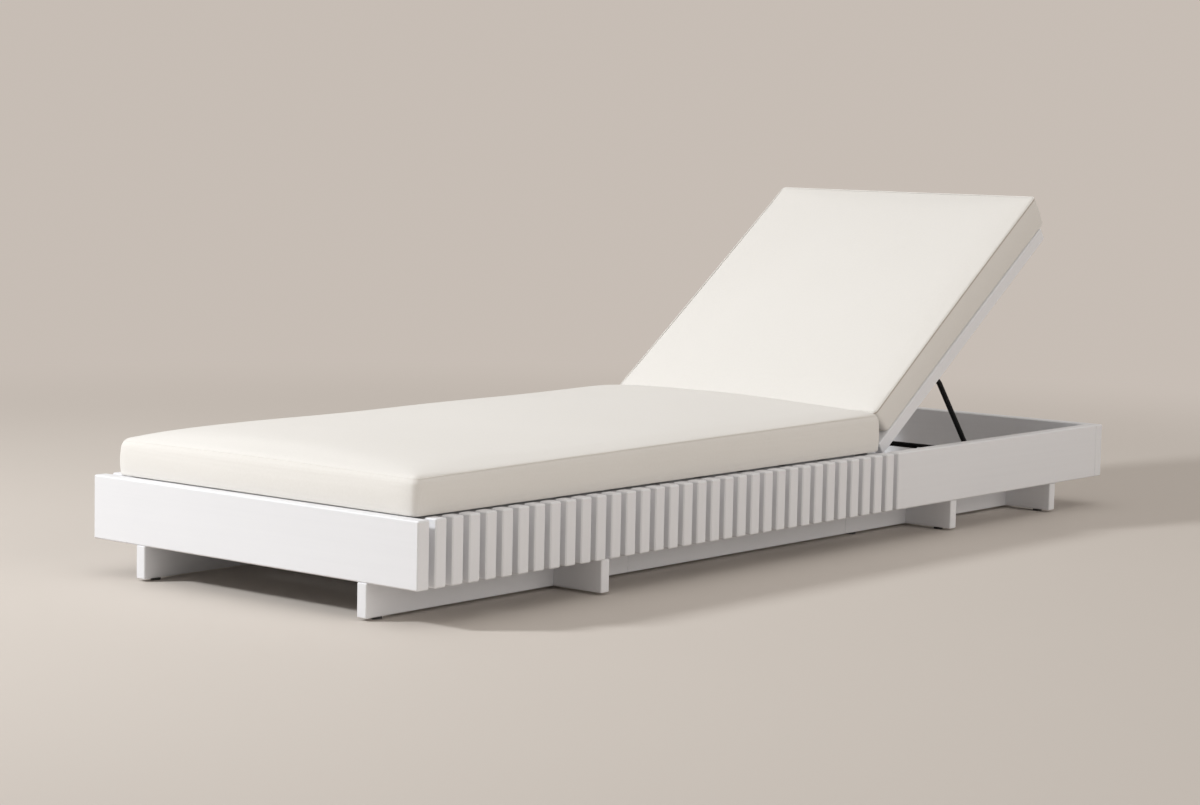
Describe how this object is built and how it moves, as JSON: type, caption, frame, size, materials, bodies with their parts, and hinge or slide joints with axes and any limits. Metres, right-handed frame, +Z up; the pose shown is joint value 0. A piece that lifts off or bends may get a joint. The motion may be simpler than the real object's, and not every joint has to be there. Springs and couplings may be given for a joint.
{
  "type": "chaise longue",
  "caption": "Low slatted wooden chaise longue with a boxed head end, loose box cushions and a reclining back propped by a bent-rod stay on notched rails.",
  "frame": {"origin": "on the floor under the middle of the chaise", "axes": "+Y along the length towards the head end, +X to the side, +Z up"},
  "size_m": [0.71, 2, 0.6112],
  "materials": {
    "painted_wood": "satin white paint",
    "canvas": "plain woven canvas",
    "black_steel": "black powder coat",
    "zinc_steel": "zinc plated",
    "black_plastic": "matte"
  },
  "bodies": {
    "base": {"bearer_front": "painted_wood", "bearer_rear": "painted_wood", "corner_blocks": "painted_wood", "cross_board_foot": "painted_wood", "cross_board_head": "painted_wood", "cross_board_middle": "painted_wood", "deck_slat_01": "painted_wood", "deck_slat_02": "painted_wood", "deck_slat_03": "painted_wood", "deck_slat_04": "painted_wood", "deck_slat_05": "painted_wood", "deck_slat_06": "painted_wood", "deck_slat_07": "painted_wood", "deck_slat_08": "painted_wood", "deck_slat_09": "painted_wood", "deck_slat_10": "painted_wood", "foot_board": "painted_wood", "glides": "black_plastic", "head_board": "painted_wood", "head_ledger_left": "painted_wood", "head_ledger_right": "painted_wood", "hinge_base_screws": "zinc_steel", "hinge_fixed_leaves": "zinc_steel", "hinge_pins": "zinc_steel", "hinge_rail": "painted_wood", "notched_rail_left": "painted_wood", "notched_rail_right": "painted_wood", "runner_foot_left": "painted_wood", "runner_foot_right": "painted_wood", "runner_head_left": "painted_wood", "runner_head_right": "painted_wood", "runner_middle_left": "painted_wood", "runner_middle_right": "painted_wood", "seat_cushion": "canvas", "seat_ledger_left": "painted_wood", "seat_ledger_right": "painted_wood", "side_panel_left": "painted_wood", "side_panel_right": "painted_wood", "side_rail_left": "painted_wood", "side_rail_right": "painted_wood", "side_slats_left": "painted_wood", "side_slats_right": "painted_wood"},
    "back": {"back_bottom_rail": "painted_wood", "back_cushion": "canvas", "back_screws": "zinc_steel", "back_slat_1": "painted_wood", "back_slat_2": "painted_wood", "back_slat_3": "painted_wood", "back_slat_4": "painted_wood", "back_slat_5": "painted_wood", "back_slat_6": "painted_wood", "back_stile_left": "painted_wood", "back_stile_right": "painted_wood", "back_top_rail": "painted_wood", "hinge_moving_leaves": "zinc_steel", "stay_bracket_left": "black_steel", "stay_bracket_right": "black_steel"},
    "stay": {"stay_rod": "black_steel", "stay_retainers": "black_steel"}
  },
  "joints": [
    {"name": "back_recline", "type": "hinge", "parent": "base", "child": "back", "pos_m": [0, 0.266, 0.1385], "axis": [1, 0, 0], "range_deg": [-34.9, 6]},
    {"name": "stay_swing", "type": "hinge", "parent": "back", "child": "stay", "pos_m": [0, 0.49471, 0.27732], "axis": [1, 0, 0], "range_deg": [-14.2, 82.1]}
  ],
  "couplings": [
    {"joint": "stay_swing", "follows": "back_recline", "ratio": -2.35}
  ]
}
